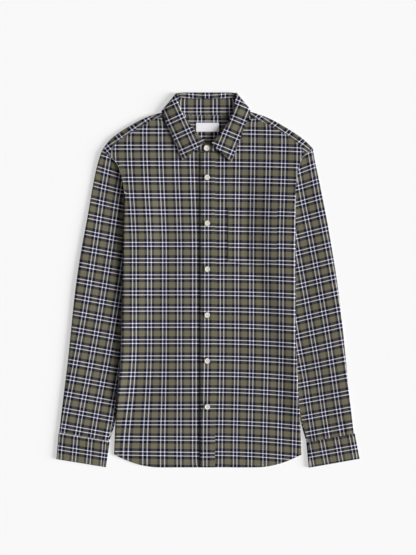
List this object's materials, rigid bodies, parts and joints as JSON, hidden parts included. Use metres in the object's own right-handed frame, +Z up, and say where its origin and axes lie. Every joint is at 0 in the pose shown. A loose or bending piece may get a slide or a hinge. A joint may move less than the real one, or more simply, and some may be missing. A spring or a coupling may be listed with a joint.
{
  "type": "oxford shirt laid flat",
  "caption": "Long-sleeved plaid oxford shirt with a button-down front, a pointed collar and a chest pocket, buttoned and laid flat on its back.",
  "frame": {"origin": "on the floor under the middle of the shirt as it lies, the bottom centre of its bounding box", "axes": "+Z up out of the front, +Y from the hem to the collar, +X to the wearer's left"},
  "size_m": [0.6489, 0.8027, 0.0121],
  "materials": {
    "back": "yarn-dyed plaid oxford cloth, olive, navy and white",
    "yoke": "yarn-dyed plaid oxford cloth, olive, navy and white",
    "front_right": "yarn-dyed plaid oxford cloth, olive, navy and white",
    "front_left": "yarn-dyed plaid oxford cloth, olive, navy and white",
    "placket": "yarn-dyed plaid oxford cloth, edge-stitched band",
    "pocket": "yarn-dyed plaid oxford cloth, matched to the front",
    "collar_stand": "yarn-dyed plaid oxford cloth, interlined",
    "collar": "yarn-dyed plaid oxford cloth, interlined, edge-stitched",
    "sleeve_right": "yarn-dyed plaid oxford cloth, olive, navy and white",
    "sleeve_left": "yarn-dyed plaid oxford cloth, olive, navy and white",
    "cuff_right": "yarn-dyed plaid oxford cloth, interlined, edge-stitched",
    "cuff_left": "yarn-dyed plaid oxford cloth, interlined, edge-stitched",
    "neck_label": "smooth white woven tape, left bare",
    "buttons": "ivory, satin, four holes"
  },
  "bodies": {
    "root": {"back": "back", "yoke": "yoke", "front_right": "front_right", "front_left": "front_left", "placket": "placket", "pocket": "pocket", "collar_stand": "collar_stand", "collar": "collar", "sleeve_right": "sleeve_right", "sleeve_left": "sleeve_left", "cuff_right": "cuff_right", "cuff_left": "cuff_left", "neck_label": "neck_label", "button_stand": "buttons", "button_1": "buttons", "button_2": "buttons", "button_3": "buttons", "button_4": "buttons", "button_5": "buttons", "button_6": "buttons"}
  },
  "joints": []
}
